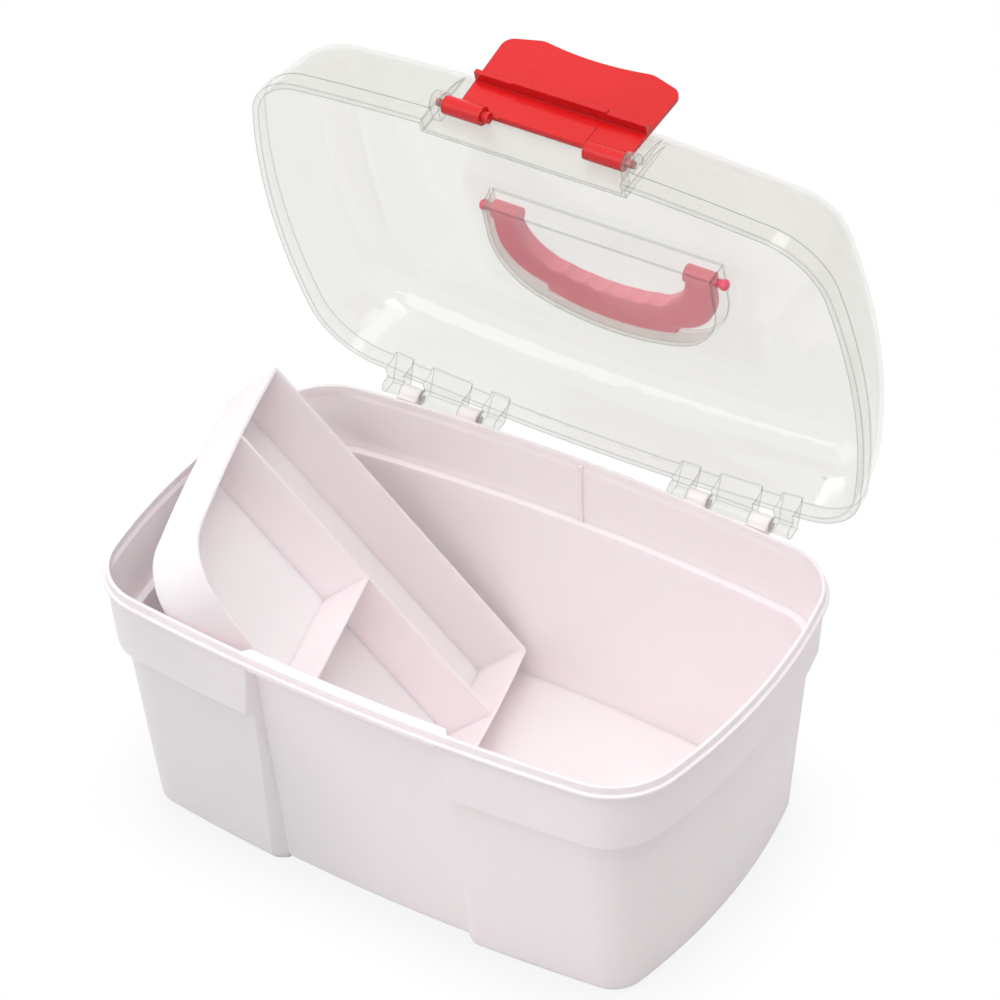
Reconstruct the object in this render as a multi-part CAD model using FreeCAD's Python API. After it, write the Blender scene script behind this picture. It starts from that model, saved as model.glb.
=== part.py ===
import FreeCAD, Part
import math
import os
from collections import namedtuple

# A hinged storage box in millimetres: a bin, a domed clear lid on two snap hinges, a latch, a bail handle in a
# pocket and a loose tray. X runs along the box, the latch is at -Y, Z is up, and the origin is the middle of
# the bin's underside. The lid, the latch and the handle are drawn with the lid shut and then turned open.

Outline = namedtuple("Outline", "half_length half_width side_radius end_radius corner_radius")

# Bin: plan outlines, which bow outward on all four sides
rim_outline = Outline(146.3, 93.1, 1060.0, 292.0, 33.5)
band_high_outline = Outline(144.1, 91.4, 1050.0, 290.0, 28.0)
band_low_outline = Outline(141.5, 91.2, 1040.0, 290.0, 28.0)
shoulder_outline = Outline(137.4, 88.0, 960.0, 315.0, 26.0)
foot_outline = Outline(129.5, 80.0, 900.0, 290.0, 15.0)

# Bin: heights and walls
rim_height = 126.0
rim_flange_drop = 3.6
rim_flange_thickness = 2.0
rim_flange_round = 0.6
rim_lip_inset = 1.6
rim_lip_wall = 1.5
rim_lip_round = 0.4
band_depth = 34.5
band_round = 0.9
bin_wall = 1.8
bin_floor = 2.4
bin_foot_round = 3.0

# Bin: recessed centre panel of the front, which the latch hangs over
panel_half_width = 46.5
panel_depth_low = 4.6
panel_depth_high = 2.8
panel_wall = 1.5
panel_flare_low = 1.5
panel_flare_high = 0.4
panel_catch_drop = 1.0
panel_reach = 30.0

# Bin: locating rib inside the back wall
locating_rib_x = 2.6
locating_rib_width = 1.4
locating_rib_height = 1.0
locating_rib_top = 2.0

# Hinge between bin and lid, measured from the edge and the top of the rim
hinge_reach = 2.4
hinge_drop = 2.1
hinge_group_x = 74.0
hinge_pin_radius = 1.6
hinge_pin_clearance = 0.08
barrel_radius = 3.7
barrel_width = 9.4
barrel_slot_width = 2.7
middle_lug_width = 20.6
outer_lug_width = 9.4
lug_radius = 3.2
lug_wall = 2.4
lug_arm_rise = 9.5
lid_open_angle = 76.3

# Lid: a flange and a domed shell
lid_inset = 0.7
lid_gap = 0.4
flange_height = 7.6
flange_round = 0.8
shell_inset = 1.3
lid_height = 45.5
lid_wall = 1.8
lid_end_draft = 0.21
lid_side_draft = 0.077
lid_corner_radius = 28.4
lid_edge_radius = 25.5

# Lid: pocket for the handle, measured on its open side
pocket_floor_height = 36.0
pocket_wall = 1.6
pocket_side_gap = 1.6
pocket_front_y = -2.2
pocket_back_y = 50.8
pocket_corner_radius = 32.2
pocket_arc_radius = 104.0
pocket_draft = 2.0

# Lid: recess for the latch, with an ear boss at each end
recess_half_width = 47.0
recess_y = -85.5
ear_radius = 5.0
ear_length = 3.9

# Latch, drawn hanging down in front of the rim
latch_pivot_y = -90.5
latch_pivot_height = 12.2
latch_half_width = 42.2
latch_root_half_width = 40.0
latch_plate = 1.8
latch_face_offset = 2.9
latch_root = 3.4
latch_length = 49.8
latch_scoop = 2.4
latch_scoop_half_width = 26.0
latch_corner_rise = 4.6
latch_corner_round = 5.5
latch_lobe_round = 12.0
latch_open_angle = 180.0
latch_barrel_radius = 4.0
latch_barrel_inner_x = 24.5
latch_barrel_outer_x = 42.7
latch_pin_radius = 1.7
latch_pin_clearance = 0.08
latch_pin_reach = 46.6
latch_stub_radius = 2.4
latch_stub_length = 3.0
latch_pad_half_width = 20.0
latch_pad_length = 11.0
latch_pad_height = 0.4
hook_gap = 0.4
hook_thickness = 2.2
hook_half_width = 41.0
hook_height = 4.4
hook_middle_height = 5.2
hook_middle_half_width = 22.5

# Handle, drawn folded in its pocket
handle_pivot_y = 2.2
handle_pivot_height = 40.4
handle_base_height = 36.4
handle_thickness = 7.4
handle_half_width = 54.4
handle_arm_width = 13.0
handle_back_y = 43.4
handle_corner_radius = 25.0
handle_arc_radius = 100.0
handle_inner_back_y = 27.5
handle_inner_corner_radius = 22.0
handle_inner_arc_radius = 90.0
handle_round = 2.4
handle_knuckle_radius = 4.1
grip_end_inset = 21.9
grip_step = 3.6
finger_count = 6
finger_pitch = 9.8
finger_depth = 1.7
handle_pin_radius = 1.8
handle_pin_clearance = 0.08
handle_barb_radius = 2.5
handle_barb_gap = 1.2
handle_barb_length = 2.4
handle_barb_chamfer = 0.9

# Tray, drawn level with the top of its walls at zero, then set as it stands in the bin
tray_outline = Outline(138.8, 88.0, 1000.0, 330.0, 30.0)
tray_straight_x = 1.9
tray_height = 28.5
tray_taper = 0.8
tray_wall = 1.6
tray_floor = 1.6
tray_corner_round = 2.0
tray_foot_round = 1.5
divider_wall = 1.5
divider_distance = 49.8
divider_drop = 0.3
tray_place = (-73.1, 59.6, 87.8)
tray_turn_axis = (0.29, 0.42, 0.86)
tray_turn_angle = 114.0

# Gap at the end of a running fit
end_gap = 0.4

# Room that a cutter needs beyond what it cuts, and how closely two places count as one
beyond = 5.0
far = 60.0
same = 0.01

# Places that follow from the sizes above
rim_flange_top = rim_height - rim_flange_drop
rim_flange_foot = rim_flange_top - rim_flange_thickness
panel_top = rim_flange_foot - panel_catch_drop
band_foot = rim_height - band_depth
ledge_height = band_foot + bin_wall
hinge_y = rim_outline.half_width + hinge_reach
hinge_z = rim_height - hinge_drop
handle_inner_half_width = handle_half_width - handle_arm_width
pocket_half_width = handle_half_width + pocket_side_gap
grip_half_width = handle_half_width - grip_end_inset


def point(x, y, z):
    return FreeCAD.Vector(x, y, z)


def inset(outline, distance):
    """The outline moved inward all round by a distance."""
    return Outline(*[value - distance for value in outline])


def between(low, high, share):
    """An outline part of the way from one to another."""
    return Outline(*[a + (b - a) * share for a, b in zip(low, high)])


def corner_points(outline):
    """Ends and middle of the corner arc in the quarter at +X, +Y."""
    side_y = outline.half_width - outline.side_radius
    end_x = outline.half_length - outline.end_radius
    side_reach = outline.side_radius - outline.corner_radius
    end_reach = outline.end_radius - outline.corner_radius
    apart = math.hypot(end_x, side_y)
    ux, uy = end_x / apart, -side_y / apart
    along = (side_reach**2 - end_reach**2 + apart**2) / (2 * apart)
    across = math.sqrt(side_reach**2 - along**2)
    x = ux * along + uy * across
    y = side_y + uy * along - ux * across
    to_side = (x / side_reach, (y - side_y) / side_reach)
    to_end = ((x - end_x) / end_reach, y / end_reach)
    middle = (to_side[0] + to_end[0], to_side[1] + to_end[1])
    size = math.hypot(*middle)
    radius = outline.corner_radius
    ends = [(x + n[0] * radius, y + n[1] * radius) for n in (to_side, to_end)]
    return ends[0], (x + middle[0] / size * radius, y + middle[1] / size * radius), ends[1]


def arc(a, b, c):
    return Part.Arc(point(*a), point(*b), point(*c)).toShape()


def line(a, b):
    return Part.LineSegment(point(*a), point(*b)).toShape()


def outline_wire(outline, height):
    """The whole outline as one closed wire of eight arcs."""
    side, middle, end = corner_points(outline)
    edges = []
    for sx, sy in ((1, -1), (1, 1), (-1, 1), (-1, -1)):
        corner = [(p[0] * sx, p[1] * sy, height) for p in (side, middle, end)]
        if sx * sy > 0:
            corner.reverse()
        edges.append(arc(*corner))
        if sx * sy > 0:
            edges.append(arc(corner[2], (0, sy * outline.half_width, height), (-corner[2][0], corner[2][1], height)))
        else:
            edges.append(arc(corner[2], (sx * outline.half_length, 0, height), (corner[2][0], -corner[2][1], height)))
    return Part.Wire(Part.__sortEdges__(edges))


def solid_between(levels):
    """A ruled solid through outlines, each with its height."""
    return Part.makeLoft([outline_wire(outline, height) for outline, height in levels], True, True)


def box(x0, x1, y0, y1, z0, z1):
    return Part.makeBox(x1 - x0, y1 - y0, z1 - z0, point(x0, y0, z0))


def rod(radius, x0, x1, y, z):
    """A round bar along X."""
    return Part.makeCylinder(radius, x1 - x0, point(x0, y, z), point(1, 0, 0))


def prism(points, x0, x1):
    """A straight prism along X from points in Y and Z."""
    ring = [point(x0, y, z) for y, z in points]
    return Part.Face(Part.makePolygon(ring + ring[:1])).extrude(point(x1 - x0, 0, 0))


def level_edges(shape, height):
    """Edges that lie at one height."""
    return [e for e in shape.Edges if abs(e.BoundBox.ZMin - height) < same and abs(e.BoundBox.ZMax - height) < same]


def both_sides(shape):
    """A shape and its mirror image in X."""
    return [shape, shape.mirror(point(0, 0, 0), point(1, 0, 0))]


def panel_outline(height, wall):
    """The centre panel's line at a height, a wall further in, from the bin's wall line carried on upward."""
    line_here = between(foot_outline, shoulder_outline, height / band_foot)
    depth = panel_depth_low + (panel_depth_high - panel_depth_low) * height / rim_height
    return inset(line_here, depth + wall)


def panel_body(wall, high):
    """The body that the centre panel is the front of, a wall further in."""
    return solid_between([(panel_outline(height, wall), height) for height in (0, high)])


def panel_front(panel_solid, wall, high):
    """What lies in front of the centre panel's face, or of a face that lies a wall further in."""
    half_width = panel_half_width + wall
    rings = []
    for height, flare in ((-beyond, panel_flare_low), (high, panel_flare_high)):
        panel = panel_outline(height, wall)
        bow = panel.side_radius - math.sqrt(panel.side_radius**2 - half_width**2)
        y = bow - panel.half_width
        reach = half_width + flare * panel_reach
        front = y - panel_reach
        ring = [(-half_width, y + far), (half_width, y + far), (half_width, y), (reach, front), (-reach, front),
                (-half_width, y)]
        points = [point(x, py, height) for x, py in ring]
        rings.append(Part.makePolygon(points + points[:1]))
    return Part.makeLoft(rings, True, True).cut(panel_solid)


def hinge_ranges():
    """X ranges of the barrels, the outer lugs and the middle lug of the hinge at +X."""
    lug_half = middle_lug_width / 2
    barrels = []
    outer_lugs = []
    for side in (-1, 1):
        near = hinge_group_x + side * (lug_half + end_gap)
        end = near + side * barrel_width
        barrels.append(tuple(sorted((near, end))))
        start = end + side * end_gap
        outer_lugs.append(tuple(sorted((start, start + side * outer_lug_width))))
    return barrels, outer_lugs, (hinge_group_x - lug_half, hinge_group_x + lug_half)


def make_bin():
    panel = panel_body(0, panel_top)
    front = panel_front(panel.makeFillet(bin_foot_round, level_edges(panel, 0)), 0, panel_top)
    body = solid_between([(foot_outline, 0), (shoulder_outline, band_foot)])
    body = body.makeFillet(bin_foot_round, level_edges(body, 0)).cut(front)
    band = solid_between([(band_low_outline, band_foot), (band_high_outline, rim_flange_top)])
    band = band.makeFillet(band_round, level_edges(band, band_foot)).cut(front)
    flange = Part.Face(outline_wire(rim_outline, rim_flange_foot)).extrude(point(0, 0, rim_flange_thickness))
    flange = flange.makeFillet(rim_flange_round, level_edges(flange, rim_flange_top) +
                               level_edges(flange, rim_flange_foot))
    catch = Part.Face(outline_wire(rim_outline, panel_top)).extrude(point(0, 0, rim_flange_top - panel_top))
    catch = catch.makeFillet(rim_flange_round, level_edges(catch, rim_flange_top) + level_edges(catch, panel_top))
    catch = catch.common(box(-panel_half_width, panel_half_width, -far * 2, 0, panel_top, rim_height))
    lip_outline = inset(rim_outline, rim_lip_inset)
    lip = Part.Face(outline_wire(lip_outline, rim_flange_foot)).extrude(point(0, 0, rim_height - rim_flange_foot))
    lip = lip.makeFillet(rim_lip_round, level_edges(lip, rim_height))
    shape = body.fuse([band, flange, catch, lip])

    for x0, x1 in hinge_ranges()[0]:
        web_y = rim_outline.half_width - 2 * bin_wall
        web = box(x0, x1, web_y, hinge_y, hinge_z - barrel_radius, hinge_z + barrel_radius / 4)
        for half in both_sides(web.fuse(rod(barrel_radius, x0, x1, hinge_y, hinge_z))):
            shape = shape.fuse(half)

    lip_inside = inset(lip_outline, rim_lip_wall)
    hollow = solid_between([(inset(foot_outline, bin_wall), bin_floor),
                            (inset(shoulder_outline, bin_wall), ledge_height)])
    hollow = hollow.fuse(solid_between([(inset(band_low_outline, bin_wall), ledge_height),
                                        (inset(band_high_outline, bin_wall), rim_flange_foot),
                                        (lip_inside, rim_flange_top), (lip_inside, rim_height + beyond)]))
    high = rim_height + far
    shape = shape.cut(hollow.cut(panel_front(panel_body(panel_wall, high), panel_wall, high)))

    bore_radius = hinge_pin_radius + hinge_pin_clearance
    for x0, x1 in hinge_ranges()[0]:
        bore = rod(bore_radius, x0 - end_gap, x1 + end_gap, hinge_y, hinge_z)
        slot = box(x0 - end_gap, x1 + end_gap, hinge_y, hinge_y + far, hinge_z - barrel_slot_width / 2,
                   hinge_z + barrel_slot_width / 2)
        for half in both_sides(bore.fuse(slot)):
            shape = shape.cut(half)

    back = band_low_outline.half_width - bin_wall
    rib = box(locating_rib_x - locating_rib_width / 2, locating_rib_x + locating_rib_width / 2,
              back - locating_rib_height, back + bin_wall / 2, ledge_height - bin_wall / 2,
              rim_height - locating_rib_top)
    return shape.fuse(rib).removeSplitter()


def lid_shell(setback):
    """The lid's closed dome, moved inward by a wall."""
    foot = inset(rim_outline, lid_inset + shell_inset)
    rise = lid_height - flange_height
    top = Outline(foot.half_length - lid_end_draft * rise, foot.half_width - lid_side_draft * rise,
                  foot.side_radius, foot.end_radius, lid_corner_radius)
    low = rim_height + lid_gap
    high = rim_height + lid_height - setback
    levels = [(inset(foot, setback), low - (beyond if setback else 0)), (inset(foot, setback), low + flange_height),
              (inset(top, setback), high)]
    dome = solid_between(levels)
    return dome.makeFillet(lid_edge_radius - setback, level_edges(dome, high))


def bail_wire(half_width, front_y, back_y, corner_radius, arc_radius, height):
    """A D shape: a straight front, straight sides, two corner arcs and a shallow arc at the back."""
    corner_x = half_width - corner_radius
    arc_y = back_y - arc_radius
    reach = arc_radius - corner_radius
    corner_y = arc_y + math.sqrt(reach**2 - corner_x**2)
    nx, ny = corner_x / reach, (corner_y - arc_y) / reach
    meet = (corner_x + corner_radius * nx, corner_y + corner_radius * ny)
    turn = math.atan2(ny, nx) / 2
    middle = (corner_x + corner_radius * math.cos(turn), corner_y + corner_radius * math.sin(turn))
    right = [(half_width, front_y, height), (half_width, corner_y, height), (*middle, height), (*meet, height)]
    left = [(-x, y, z) for x, y, z in right]
    edges = [line(left[0], right[0]), line(right[0], right[1]), arc(right[1], right[2], right[3]),
             arc(right[3], (0, back_y, height), left[3]), arc(left[3], left[2], left[1]), line(left[1], left[0])]
    return Part.Wire(edges)


def pocket(grow, low, high):
    """The handle's pocket, grown outward by a wall."""
    floor = rim_height + pocket_floor_height
    top = rim_height + lid_height
    wires = []
    for height in (low, high):
        draft = grow + pocket_draft * (height - floor) / (top - floor)
        wires.append(bail_wire(pocket_half_width + draft / 2, pocket_front_y - draft, pocket_back_y + draft / 2,
                               pocket_corner_radius + draft / 2, pocket_arc_radius + draft / 2, height))
    return Part.makeLoft(wires, True, True)


def hinge_lug(x0, x1):
    """One lug of the lid: a ring round the hinge line and an arm up to the flange."""
    outer_x = max(abs(x0), abs(x1))
    bow = rim_outline.side_radius - math.sqrt(rim_outline.side_radius**2 - outer_x**2)
    inner_y = rim_outline.half_width - bow - lid_inset - shell_inset - lid_wall / 2
    low = rim_height + lid_gap
    arm = prism([(hinge_y - lug_radius, hinge_z), (hinge_y + lug_radius, hinge_z),
                 (hinge_y + lug_radius, low + lug_wall), (inner_y + lug_wall, low + lug_arm_rise),
                 (inner_y, low + lug_arm_rise), (inner_y, low), (hinge_y - lug_radius, low)], x0, x1)
    return arm.fuse(rod(lug_radius, x0, x1, hinge_y, hinge_z))


def make_lid():
    low = rim_height + lid_gap
    top = rim_height + lid_height
    flange = Part.Face(outline_wire(inset(rim_outline, lid_inset), low)).extrude(point(0, 0, flange_height))
    flange = flange.makeFillet(flange_round, level_edges(flange, low + flange_height))
    outside = lid_shell(0).fuse(flange)
    hollow = lid_shell(lid_wall)

    floor = rim_height + pocket_floor_height
    well = pocket(pocket_wall, floor - pocket_wall, top - lid_wall / 2)
    recess_side = recess_half_width + lid_wall
    front = -rim_outline.half_width - beyond
    liner = box(-recess_side, recess_side, front, recess_y + lid_wall, low, top).common(outside)
    shape = outside.cut(hollow).fuse([well, liner])
    shape = shape.cut(pocket(0, floor, top + beyond))
    shape = shape.cut(box(-recess_half_width, recess_half_width, front, recess_y, low - beyond, top + beyond))

    pivot_z = rim_height + latch_pivot_height
    ear_x = recess_half_width - ear_length
    ear = rod(ear_radius, ear_x, recess_half_width + lid_wall / 2, latch_pivot_y, pivot_z)
    ear = ear.fuse(box(ear_x, recess_half_width + lid_wall / 2, latch_pivot_y, recess_y + lid_wall / 2,
                       pivot_z - ear_radius, pivot_z + ear_radius))
    added = both_sides(ear)
    barrels, outer_lugs, middle_lug = hinge_ranges()
    for x0, x1 in outer_lugs + [middle_lug]:
        added += both_sides(hinge_lug(x0, x1).cut(hollow))
    for x0, x1 in barrels:
        added += both_sides(rod(hinge_pin_radius, x0 - 2 * end_gap, x1 + 2 * end_gap, hinge_y, hinge_z))
    shape = shape.fuse(added)

    socket = rod(latch_pin_radius + latch_pin_clearance, latch_barrel_outer_x, latch_pin_reach + end_gap,
                 latch_pivot_y, pivot_z)
    handle_hole = rod(handle_pin_radius + handle_pin_clearance, handle_half_width, pocket_half_width + beyond,
                      handle_pivot_y, rim_height + handle_pivot_height)
    return shape.cut(both_sides(socket) + both_sides(handle_hole)).removeSplitter()


def make_latch():
    pivot_z = rim_height + latch_pivot_height
    face = latch_pivot_y - latch_face_offset
    inner_x = latch_barrel_inner_x
    corner = (latch_half_width, latch_length - latch_corner_rise)
    lobe = (latch_scoop_half_width, latch_length)
    right = [(inner_x, latch_root), (inner_x, 0), (latch_root_half_width, 0), corner, lobe]
    right = [(x, face, pivot_z - s) for x, s in right]
    left = [(-x, y, z) for x, y, z in right]
    edges = [line(a, b) for a, b in zip(right, right[1:])]
    edges.append(arc(right[-1], (0, face, pivot_z - latch_length + latch_scoop), left[-1]))
    edges += [line(a, b) for a, b in zip(left[::-1], left[::-1][1:])]
    edges.append(line(left[0], right[0]))
    shape = Part.Face(Part.Wire(edges)).extrude(point(0, -latch_plate, 0))
    for end, radius in ((corner, latch_corner_round), (lobe, latch_lobe_round)):
        shape = shape.makeFillet(radius, [e for e in shape.Edges if is_cross_edge(e, end[0], pivot_z - end[1])])

    hook_top = panel_top - hook_gap
    inside = face - latch_plate / 2
    added = [box(-hook_half_width, hook_half_width, inside, face + hook_height, hook_top - hook_thickness, hook_top),
             box(-hook_middle_half_width, hook_middle_half_width, inside, face + hook_middle_height,
                 hook_top - hook_thickness, hook_top),
             box(-latch_pad_half_width, latch_pad_half_width, inside, face + latch_pad_height,
                 pivot_z - latch_root - latch_pad_height - latch_pad_length, pivot_z - latch_root - latch_pad_height)]
    added += both_sides(rod(latch_barrel_radius, inner_x, latch_barrel_outer_x, latch_pivot_y, pivot_z))
    added += both_sides(rod(latch_pin_radius, inner_x, latch_pin_reach, latch_pivot_y, pivot_z))
    added.append(rod(latch_stub_radius, -inner_x, -inner_x + latch_stub_length, latch_pivot_y, pivot_z))
    return shape.fuse(added).removeSplitter()


def is_cross_edge(edge, x, z):
    """Whether an edge runs along Y at this X or its mirror image, at this Z."""
    bounds = edge.BoundBox
    return (abs(abs(bounds.Center.x) - x) < same and abs(bounds.Center.z - z) < same
            and bounds.XLength + bounds.ZLength < same)


def make_handle():
    pivot_z = rim_height + handle_pivot_height
    base = rim_height + handle_base_height
    up = point(0, 0, handle_thickness)
    outer = bail_wire(handle_half_width, handle_pivot_y, handle_back_y, handle_corner_radius,
                      handle_arc_radius, base)
    step = bail_wire(handle_half_width, handle_pivot_y, handle_back_y + grip_step, handle_corner_radius,
                     handle_arc_radius, base)
    inner = bail_wire(handle_inner_half_width, handle_pivot_y - beyond, handle_inner_back_y,
                      handle_inner_corner_radius, handle_inner_arc_radius, base)
    step = Part.Face(step).extrude(up)
    step = step.common(box(-grip_half_width, grip_half_width, handle_inner_back_y, far, base - beyond, base + far))
    shape = Part.Face(outer).extrude(up).fuse(step).removeSplitter()
    shape = shape.cut(Part.Face(inner).extrude(up))
    rims = [e for e in shape.Edges if e.BoundBox.ZLength < same and e.BoundBox.YMax > handle_pivot_y + same]
    shape = shape.makeFillet(handle_round, rims)

    finger_radius = (finger_pitch**2 / 4 + finger_depth**2) / (2 * finger_depth)
    for i in range(finger_count):
        x = (i - (finger_count - 1) / 2) * finger_pitch
        bow = handle_inner_arc_radius - math.sqrt(handle_inner_arc_radius**2 - x**2)
        y = handle_inner_back_y - bow + finger_depth - finger_radius
        shape = shape.cut(Part.makeCylinder(finger_radius, far, point(x, y, base - beyond)))

    added = both_sides(rod(handle_knuckle_radius, handle_inner_half_width, handle_half_width, handle_pivot_y, pivot_z))
    barb_x = pocket_half_width + pocket_wall + handle_barb_gap
    barb_end = barb_x + handle_barb_length
    pin = rod(handle_pin_radius, handle_inner_half_width, barb_end, handle_pivot_y, pivot_z)
    barb = rod(handle_barb_radius, barb_x, barb_end, handle_pivot_y, pivot_z)
    barb = barb.makeChamfer(handle_barb_chamfer, [e for e in barb.Edges if e.BoundBox.XMin > barb_end - same])
    return shape.fuse(added + both_sides(pin.fuse(barb))).removeSplitter()


def tray_block(setback, low, high):
    """The tray's closed block, moved inward by a wall."""
    levels = [(inset(tray_outline, setback - tray_taper * height / tray_height), height) for height in (low, high)]
    block = solid_between(levels)
    x0 = tray_straight_x - setback
    rings = []
    for height in (low, high):
        x = x0 + tray_taper * height / tray_height
        ring = [point(x, -far * 2, height), point(x, far * 2, height), point(x - far * 4, far * 2, height),
                point(x - far * 4, -far * 2, height)]
        rings.append(Part.makePolygon(ring + ring[:1]))
    block = block.common(Part.makeLoft(rings, True, True))
    radius = max(tray_corner_round - setback, tray_corner_round / 2)
    uprights = [e for e in block.Edges if e.BoundBox.ZLength > high - low - same and e.BoundBox.XMin > -beyond]
    return block.makeFillet(radius, uprights)


def make_tray():
    block = tray_block(0, -tray_height, 0)
    block = block.makeFillet(tray_foot_round, level_edges(block, -tray_height))
    hollow = tray_block(tray_wall, -tray_height + tray_floor, beyond)
    shape = block.cut(hollow)
    divider_x = tray_straight_x - divider_distance
    long_divider = box(divider_x - divider_wall / 2, divider_x + divider_wall / 2, -far * 2, far * 2,
                       -tray_height + tray_floor / 2, -divider_drop)
    cross_divider = box(-far * 3, divider_x, -divider_wall / 2, divider_wall / 2,
                        -tray_height + tray_floor / 2, -divider_drop)
    dividers = long_divider.fuse(cross_divider).common(tray_block(tray_wall / 2, -tray_height + tray_floor / 2, 0))
    return shape.fuse(dividers).removeSplitter()


def placed(shape, base, axis, angle):
    """A copy turned about a line through a point."""
    copy = shape.copy()
    copy.rotate(point(*base), point(*axis), angle)
    return copy


def opened(shape):
    """A piece of the lid's group, swung open with the lid."""
    return placed(shape, (0, hinge_y, hinge_z), (-1, 0, 0), lid_open_angle)


def main():
    os.makedirs("parts", exist_ok=True)
    latch = placed(make_latch(), (0, latch_pivot_y, rim_height + latch_pivot_height), (-1, 0, 0), latch_open_angle)
    tray = placed(make_tray(), (0, 0, 0), tray_turn_axis, tray_turn_angle)
    tray.translate(point(*tray_place))
    pieces = {"bin": make_bin(), "lid": opened(make_lid()), "latch": opened(latch), "handle": opened(make_handle()),
              "tray": tray}
    for name, shape in pieces.items():
        shape.exportStep(f"parts/{name}.step")


main()
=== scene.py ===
import math

import bpy
from mathutils import Matrix, Vector


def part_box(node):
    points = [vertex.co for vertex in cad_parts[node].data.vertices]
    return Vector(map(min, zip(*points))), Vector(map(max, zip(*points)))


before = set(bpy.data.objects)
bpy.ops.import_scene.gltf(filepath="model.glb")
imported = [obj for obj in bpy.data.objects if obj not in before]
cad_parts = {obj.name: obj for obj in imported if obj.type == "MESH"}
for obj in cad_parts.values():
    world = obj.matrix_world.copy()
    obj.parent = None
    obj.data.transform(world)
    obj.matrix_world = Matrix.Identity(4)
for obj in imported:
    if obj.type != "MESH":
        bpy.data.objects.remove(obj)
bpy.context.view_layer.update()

# Camera, fitted to the photograph: metres, degrees, and millimetres for the lens
CAMERA_PLACE = (0.7232, -1.0307, 1.1572)
CAMERA_AZIMUTH = 34.29
CAMERA_ELEVATION = 38.27
CAMERA_ROLL = -2.35
CAMERA_LENS = 139.69
CAMERA_SENSOR = 36.0
CAMERA_CLIP = (0.05, 50.0)

# Lamps: name, place, what they face, size across and along in metres, watts
LAMPS = (
    ("softbox_above", (0.3, -0.15, 1.6), (0.0, 0.0, 0.1), (1.5, 1.2), 17.6),
    ("softbox_left", (-1.4, -0.9, 0.9), (0.0, 0.0, 0.12), (0.9, 0.9), 2.5),
    ("softbox_front", (-0.5, -1.3, 1.3), (0.0, 0.0, 0.12), (0.8, 0.8), 3.5),
    ("strip_left", (-1.0, 0.5, 1.0), (0.0, 0.1, 0.22), (0.06, 0.7), 1.2),
    ("strip_front", (0.2, -1.6, 1.3), (0.0, 0.1, 0.22), (0.8, 0.06), 1.0),
)

# Fill light from the room: its strength and tint at the left and at the right of the box
FILL_LEFT, FILL_RIGHT = 0.759, 0.33
FILL_TINT_LEFT = (1.0, 0.98, 0.99, 1.0)
FILL_TINT_RIGHT = (0.95, 1.0, 0.975, 1.0)

# Floor: it lies a hair under the foot, and keeps a faint shadow close to it
FLOOR_SIZE = 6.0
FLOOR_DROP = 0.0002
FLOOR_GREY = (0.6, 0.6, 0.6, 1.0)
SHADOW_REACH = 0.04
SHADOW_TONE = 0.9

# Marks of moulding and use, in metres where they are lengths
FLOW_HEIGHT = 0.00022
FLOW_SCALE = 14.0
FLOW_STRETCH = 7.0
GRAIN_HEIGHT = 0.000012
GRAIN_SCALE = 1500.0
DRIFT_SCALE = 9.0
WEAR_SCALE = 60.0
WEAR_SCALE_CLEAR = 340.0
# Reach of the painted shade in the creases
CREASE_SHADE_REACH = 0.005
EDGE_RADIUS = 0.0006
RELIEF_STRENGTH = 0.6

# Clear plastic of the lid
CLEAR_IOR = 1.42
CLEAR_ROUGHNESS = (0.02, 0.095)
CLEAR_TINT = (0.962, 0.962, 0.948, 1.0)
MIRROR_TINT = (1.0, 1.0, 0.99, 1.0)
MILK_TINT = (0.97, 0.97, 0.955, 1.0)
# Grey of the painted shade along the lid's edges
EDGE_SHADE_TINT = (0.5, 0.54, 0.51, 1.0)
WAVE_HEIGHT = 0.0009
WAVE_SCALE = 20.0
CLOUD_SCALE = 12.0
HAZE = (0.09, 0.12)
HAZE_RUBBED = 0.03
POCKET_HAZE = 0.075
POCKET_FADE = (0.004, 0.012)
EDGE_LINE_RADIUS = 0.0014
EDGE_LINE_TONE = 0.85

# Finish of each opaque piece. Tints are screen values: main, second, and the painted shade in the creases.
# glow is the share of light that spreads inside the plastic, and depth how far red, green and blue do.
OPAQUE_IOR = 1.49
WEAR_SPREAD = (-0.05, 0.06)
PALE_DEPTH = (0.008, 0.006, 0.0065)
OPAQUE_FINISHES = {
    "bin": {"material": "bin_plastic", "tints": ((253, 239, 242), (255, 244, 246), (196, 188, 190)),
            "roughness": 0.36, "glow": 0.55, "depth": PALE_DEPTH, "relief": 1.0, "shade": 0.4},
    "tray": {"material": "tray_plastic", "tints": ((249, 239, 242), (252, 243, 245), (206, 197, 199)),
             "roughness": 0.38, "glow": 0.55, "depth": PALE_DEPTH, "relief": 1.0, "shade": 0.4},
    "latch": {"material": "latch_plastic", "tints": ((198, 8, 12), (212, 16, 20), (140, 4, 8)),
              "roughness": 0.28, "glow": 0.08, "depth": (0.002, 0.0004, 0.0003), "relief": 0.7, "shade": 0.5},
    "handle": {"material": "handle_plastic", "tints": ((250, 94, 122), (254, 108, 134), (212, 66, 92)),
               "roughness": 0.33, "glow": 0.2, "depth": (0.003, 0.001, 0.001), "relief": 0.7, "shade": 0.2},
}

NUMBER, VECTOR, TINT = "NodeSocketFloat", "NodeSocketVector", "NodeSocketColor"
NO_PLACE = (0.0, 0.0, 0.0)
WHITE = (1.0, 1.0, 1.0, 1.0)


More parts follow.
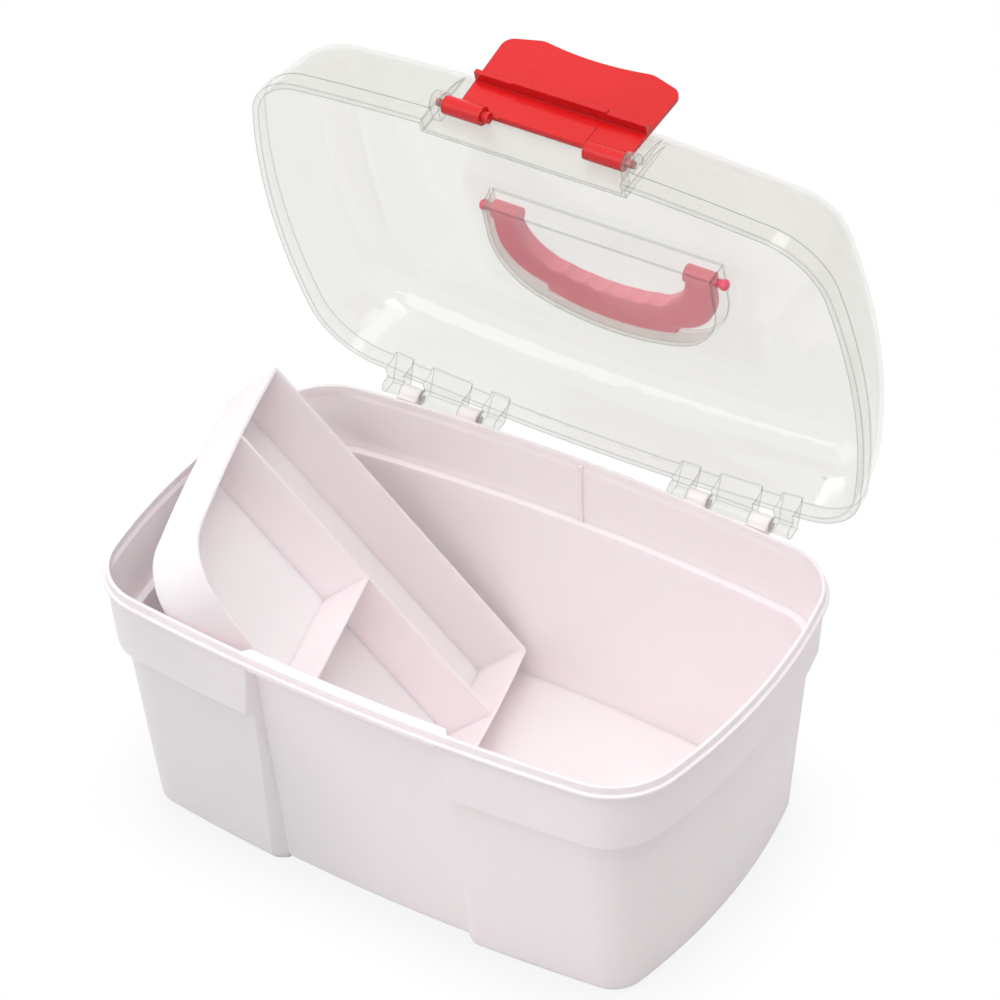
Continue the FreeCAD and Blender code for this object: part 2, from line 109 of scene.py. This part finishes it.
class Nodes:
    """Short calls for building one node tree."""

    def __init__(self, tree):
        self.tree = tree

    def feed(self, socket, value):
        """Gives an input a value, or a link from another node's output."""
        if isinstance(value, bpy.types.NodeSocket):
            self.tree.links.new(value, socket)
        else:
            socket.default_value = value

    def add(self, kind, values=None, **settings):
        node = self.tree.nodes.new(kind)
        for name, value in settings.items():
            setattr(node, name, value)
        for key, value in (values or {}).items():
            self.feed(node.inputs[key], value)
        return node

    def math(self, operation, a, b=0.0, clamp=False):
        return self.add("ShaderNodeMath", {0: a, 1: b}, operation=operation, use_clamp=clamp).outputs[0]

    def noise(self, place, scale, detail=2.0, roughness=0.5):
        values = {"Vector": place, "Scale": scale, "Detail": detail, "Roughness": roughness}
        return self.add("ShaderNodeTexNoise", values).outputs["Fac"]

    def ramp(self, value, low, high, to_low=0.0, to_high=1.0):
        values = {"Value": value, "From Min": low, "From Max": high, "To Min": to_low, "To Max": to_high}
        return self.add("ShaderNodeMapRange", values).outputs["Result"]

    def blend(self, factor, a, b):
        """Mixes two colours. The mix node keeps its colour sockets at 6 and 7, and its colour output at 2."""
        return self.add("ShaderNodeMix", {0: factor, 6: a, 7: b}, data_type="RGBA").outputs[2]

    def mix(self, factor, a, b):
        """Mixes two shaders."""
        return self.add("ShaderNodeMixShader", {0: factor, 1: a, 2: b}).outputs[0]

    def shader(self, kind, values):
        return self.add(kind, values).outputs[0]

    def effect(self, group, values):
        """Places a shared effect with its own values and gives its output."""
        return self.add("ShaderNodeGroup", values, node_tree=group).outputs[0]

    def object_place(self):
        return self.add("ShaderNodeTexCoord").outputs["Object"]


def new_material(name):
    material = bpy.data.materials.new(name)
    material.use_nodes = True
    material.node_tree.nodes.clear()
    return material, Nodes(material.node_tree)


def colour(r, g, b):
    """Linear colour from screen values of 0 to 255."""
    def linear(v):
        v /= 255
        return v / 12.92 if v <= 0.04045 else ((v + 0.055) / 1.055) ** 2.4
    return (linear(r), linear(g), linear(b), 1.0)


def new_effect(name, inputs, output, kind):
    """A shader node group with named sockets. Each input is (label, kind of socket, value)."""
    group = bpy.data.node_groups.new(name, "ShaderNodeTree")
    for label, socket_kind, value in inputs:
        socket = group.interface.new_socket(name=label, in_out="INPUT", socket_type=socket_kind)
        socket.default_value = value
    group.interface.new_socket(name=output, in_out="OUTPUT", socket_type=kind)
    n = Nodes(group)
    given = n.add("NodeGroupInput").outputs
    result = n.add("NodeGroupOutput").inputs[output]
    return group, n, given, result


def effect_colour_drift():
    """Slow drift between two tints, as where the melt cooled unevenly."""
    group, n, given, result = new_effect("colour_drift", (
        ("Place", VECTOR, NO_PLACE),
        ("Scale", NUMBER, DRIFT_SCALE),
        ("Tint", TINT, WHITE),
        ("Second Tint", TINT, WHITE),
    ), "Color", TINT)
    drift = n.noise(given["Place"], given["Scale"], 3.0)
    n.feed(result, n.blend(n.ramp(drift, 0.35, 0.65), given["Tint"], given["Second Tint"]))
    return group


def effect_flow_marks():
    """Height of the faint upright flow marks and the fine grain that a mould leaves, in metres."""
    group, n, given, result = new_effect("flow_marks", (
        ("Place", VECTOR, NO_PLACE),
        ("Flow", NUMBER, FLOW_HEIGHT),
        ("Grain", NUMBER, GRAIN_HEIGHT),
    ), "Height", NUMBER)
    stretch = {"Vector": given["Place"], "Scale": (1.0, 1.0, FLOW_STRETCH)}
    flow = n.noise(n.add("ShaderNodeMapping", stretch).outputs[0], FLOW_SCALE, 4.0, 0.6)
    grain = n.noise(given["Place"], GRAIN_SCALE)
    n.feed(result, n.math("ADD", n.math("MULTIPLY", flow, given["Flow"]),
                          n.math("MULTIPLY", grain, given["Grain"])))
    return group


def effect_handling_wear():
    """Roughness of a surface that hands have rubbed in places."""
    group, n, given, result = new_effect("handling_wear", (
        ("Place", VECTOR, NO_PLACE),
        ("Scale", NUMBER, WEAR_SCALE),
        ("Untouched", NUMBER, 0.3),
        ("Rubbed", NUMBER, 0.4),
    ), "Roughness", NUMBER)
    swirl = n.noise(given["Place"], given["Scale"], 5.0, 0.72)
    grain = n.noise(given["Place"], GRAIN_SCALE)
    worn = n.ramp(swirl, 0.3, 0.7, given["Untouched"], given["Rubbed"])
    n.feed(result, n.math("MULTIPLY", worn, n.ramp(grain, 0.3, 0.7, 0.95, 1.05)))
    return group


def effect_crease_shade():
    """Painted shade: darkens the colour in inner corners and creases that ambient occlusion finds."""
    group, n, given, result = new_effect("crease_shade", (
        ("Color", TINT, WHITE),
        ("Shade", TINT, WHITE),
        ("Amount", NUMBER, 0.4),
        ("Reach", NUMBER, CREASE_SHADE_REACH),
    ), "Color", TINT)
    open_air = n.add("ShaderNodeAmbientOcclusion", {"Distance": given["Reach"]}, samples=6).outputs["AO"]
    shaded = n.math("MULTIPLY", n.ramp(open_air, 0.75, 0.25), given["Amount"], clamp=True)
    n.feed(result, n.blend(shaded, given["Color"], given["Shade"]))
    return group


def effect_relief():
    """Normal of a raised surface whose edges are eased by a small radius."""
    group, n, given, result = new_effect("relief", (
        ("Height", NUMBER, 0.0),
        ("Edge Radius", NUMBER, EDGE_RADIUS),
    ), "Normal", VECTOR)
    soft_edges = n.add("ShaderNodeBevel", {"Radius": given["Edge Radius"]}, samples=4).outputs[0]
    n.feed(result, n.add("ShaderNodeBump", {
        "Height": given["Height"], "Distance": 1.0, "Strength": RELIEF_STRENGTH,
        "Normal": soft_edges}).outputs[0])
    return group


def opaque_plastic(effects, finish):
    """Moulded plastic: slow colour drift, flow marks, fine grain, handling wear, and painted shade in the
    creases.
    """
    material, n = new_material(finish["material"])
    place = n.object_place()
    main, second, shade = (colour(*tint) for tint in finish["tints"])
    tone = n.effect(effects["colour_drift"], {"Place": place, "Tint": main, "Second Tint": second})
    # Painted shade: the colour darkens in inner corners and creases
    tone = n.effect(effects["crease_shade"], {"Color": tone, "Shade": shade, "Amount": finish["shade"]})
    untouched, worn = (finish["roughness"] + change for change in WEAR_SPREAD)
    gloss = n.effect(effects["handling_wear"], {"Place": place, "Untouched": untouched, "Rubbed": worn})
    height = n.effect(effects["flow_marks"], {
        "Place": place, "Flow": FLOW_HEIGHT * finish["relief"], "Grain": GRAIN_HEIGHT * finish["relief"]})
    surface = n.shader("ShaderNodeBsdfPrincipled", {
        "Base Color": tone, "Roughness": gloss, "Normal": n.effect(effects["relief"], {"Height": height}),
        "IOR": OPAQUE_IOR, "Subsurface Weight": finish["glow"], "Subsurface Radius": finish["depth"],
        "Subsurface Scale": 1.0})
    n.add("ShaderNodeOutputMaterial", {"Surface": surface})
    return material


def near_box(n, place, corners):
    """Mask that is 1 inside a box and fades to 0 just outside it."""
    inside = 1.0
    apart = n.add("ShaderNodeSeparateXYZ", {0: place}).outputs
    for axis, (low, high) in enumerate(zip(*corners)):
        offset = n.math("ABSOLUTE", n.math("SUBTRACT", apart[axis], (low + high) / 2))
        half = (high - low) / 2
        fade = n.ramp(offset, half + POCKET_FADE[0], half + POCKET_FADE[1], 1.0, 0.0)
        inside = n.math("MULTIPLY", inside, fade)
    return inside


def clear_plastic(effects, name):
    """Clear moulded plastic, faintly milky, with thin walls that hardly bend what lies behind them.

    The walls of the handle's pocket are milkier, and thin grey lines of painted shade follow the
    edges, standing in for the light that the rounded edges bend away.
    """
    material, n = new_material(name)
    place = n.object_place()
    waves = n.noise(place, WAVE_SCALE)
    cloud = n.noise(place, CLOUD_SCALE, 3.0, 0.6)
    rubbed = n.noise(place, WEAR_SCALE_CLEAR, 5.0, 0.75)
    relief = n.add("ShaderNodeBump", {
        "Height": n.math("MULTIPLY", waves, WAVE_HEIGHT), "Distance": 1.0,
        "Strength": RELIEF_STRENGTH}).outputs[0]
    untouched, worn = CLEAR_ROUGHNESS
    gloss = n.effect(effects["handling_wear"], {
        "Place": place, "Scale": WEAR_SCALE_CLEAR, "Untouched": untouched, "Rubbed": worn})

    # A ray that leaves the plastic meets the inverse index, so a thin wall never mirrors it whole.
    geometry = n.add("ShaderNodeNewGeometry").outputs
    bending = n.ramp(geometry["Backfacing"], 0.0, 1.0, CLEAR_IOR, 1 / CLEAR_IOR)
    facing = n.add("ShaderNodeFresnel", {"IOR": bending, "Normal": relief}).outputs[0]
    through = n.shader("ShaderNodeBsdfTransparent", {"Color": CLEAR_TINT})
    mirrored = n.shader("ShaderNodeBsdfAnisotropic", {
        "Color": MIRROR_TINT, "Roughness": gloss, "Normal": relief})
    near_side = n.shader("ShaderNodeBsdfDiffuse", {"Color": MILK_TINT})
    far_side = n.shader("ShaderNodeBsdfTranslucent", {"Color": MILK_TINT})
    haze = n.math("ADD", n.ramp(cloud, 0.3, 0.7, *HAZE), n.ramp(rubbed, 0.55, 0.8, 0.0, HAZE_RUBBED))
    pocket = near_box(n, place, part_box("handle"))
    haze = n.math("ADD", haze, n.math("MULTIPLY", pocket, POCKET_HAZE))
    wall = n.mix(haze, n.mix(facing, through, mirrored), n.mix(0.5, near_side, far_side))

    # Painted shade: thin grey lines along the rounded edges, standing in for the light they bend away
    rounded = n.add("ShaderNodeBevel", {"Radius": EDGE_LINE_RADIUS}, samples=4).outputs[0]
    across = n.add("ShaderNodeVectorMath", {0: geometry["Normal"], 1: rounded},
                   operation="DOT_PRODUCT").outputs["Value"]
    edge = n.math("MULTIPLY", n.ramp(across, 0.99, 0.85), EDGE_LINE_TONE, clamp=True)
    edge_shade = n.shader("ShaderNodeBsdfTransparent", {"Color": EDGE_SHADE_TINT})
    n.add("ShaderNodeOutputMaterial", {"Surface": n.mix(edge, wall, edge_shade)})
    return material


def dress(node, material):
    """Gives a node of the frame its one material."""
    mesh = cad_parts[node].data
    mesh.materials.clear()
    mesh.materials.append(material)


def build_materials():
    effects = {
        "colour_drift": effect_colour_drift(),
        "crease_shade": effect_crease_shade(),
        "handling_wear": effect_handling_wear(),
        "flow_marks": effect_flow_marks(),
        "relief": effect_relief(),
    }
    for node, finish in OPAQUE_FINISHES.items():
        dress(node, opaque_plastic(effects, finish))
    dress("lid", clear_plastic(effects, "lid_plastic"))


def backdrop_seen(n):
    """1 for rays that look at the backdrop: from the camera, mirrored, or through clear plastic."""
    path = n.add("ShaderNodeLightPath").outputs
    direct = n.math("MAXIMUM", path["Is Camera Ray"], path["Is Transmission Ray"])
    return n.math("MAXIMUM", direct, path["Is Glossy Ray"])


def build_floor():
    """White floor as the backdrop, darker only close to the foot of what stands on it."""
    material, n = new_material("studio_floor")
    open_air = n.add("ShaderNodeAmbientOcclusion", {"Distance": SHADOW_REACH}, samples=16).outputs["AO"]
    plain = n.shader("ShaderNodeBsdfDiffuse", {"Color": FLOOR_GREY})
    white = n.shader("ShaderNodeEmission", {
        "Color": WHITE, "Strength": n.ramp(open_air, 0.4, 0.95, SHADOW_TONE, 1.0)})
    n.add("ShaderNodeOutputMaterial", {"Surface": n.mix(backdrop_seen(n), plain, white)})
    half = FLOOR_SIZE / 2
    corners = [(x * half, y * half, -FLOOR_DROP) for x, y in ((-1, -1), (1, -1), (1, 1), (-1, 1))]
    mesh = bpy.data.meshes.new("studio_floor")
    mesh.from_pydata(corners, [], [(0, 1, 2, 3)])
    mesh.materials.append(material)
    floor = bpy.data.objects.new("studio_floor", mesh)
    bpy.context.scene.collection.objects.link(floor)


def build_world():
    """White backdrop, and a soft fill light that is stronger from the left."""
    world = bpy.data.worlds.new("studio")
    world.use_nodes = True
    world.node_tree.nodes.clear()
    n = Nodes(world.node_tree)
    direction = n.add("ShaderNodeTexCoord").outputs["Generated"]
    toward = n.add("ShaderNodeSeparateXYZ", {0: direction}).outputs["X"]
    fill = n.shader("ShaderNodeBackground", {
        "Color": n.blend(n.ramp(toward, -0.3, 0.8), FILL_TINT_LEFT, FILL_TINT_RIGHT),
        "Strength": n.ramp(toward, -1.0, 1.0, FILL_LEFT, FILL_RIGHT)})
    white = n.shader("ShaderNodeBackground", {"Color": WHITE, "Strength": 1.0})
    n.add("ShaderNodeOutputWorld", {"Surface": n.mix(backdrop_seen(n), fill, white)})
    bpy.context.scene.world = world


def build_lamps():
    for name, place, target, size, watts in LAMPS:
        lamp = bpy.data.lights.new(name, "AREA")
        lamp.shape = "RECTANGLE"
        lamp.size, lamp.size_y = size
        lamp.energy = watts
        item = bpy.data.objects.new(name, lamp)
        bpy.context.scene.collection.objects.link(item)
        aim = (Vector(target) - Vector(place)).to_track_quat("-Z", "Y")
        item.matrix_world = Matrix.Translation(place) @ aim.to_matrix().to_4x4()


def build_camera():
    azimuth, elevation, roll = (math.radians(v) for v in (CAMERA_AZIMUTH, CAMERA_ELEVATION, CAMERA_ROLL))
    back = Vector((math.sin(azimuth) * math.cos(elevation), -math.cos(azimuth) * math.cos(elevation),
                   math.sin(elevation)))
    level = (-back).cross(Vector((0, 0, 1))).normalized()
    upright = level.cross(-back)
    right = math.cos(roll) * level + math.sin(roll) * upright
    up = math.cos(roll) * upright - math.sin(roll) * level
    data = bpy.data.cameras.new("camera")
    data.sensor_width = CAMERA_SENSOR
    data.lens = CAMERA_LENS
    data.clip_start, data.clip_end = CAMERA_CLIP
    camera = bpy.data.objects.new("camera", data)
    turn = Matrix((right, up, back)).transposed().to_4x4()
    camera.matrix_world = Matrix.Translation(CAMERA_PLACE) @ turn
    bpy.context.scene.collection.objects.link(camera)
    bpy.context.scene.camera = camera


bpy.context.scene.view_settings.view_transform = "Standard"
build_materials()
build_floor()
build_world()
build_lamps()
build_camera()
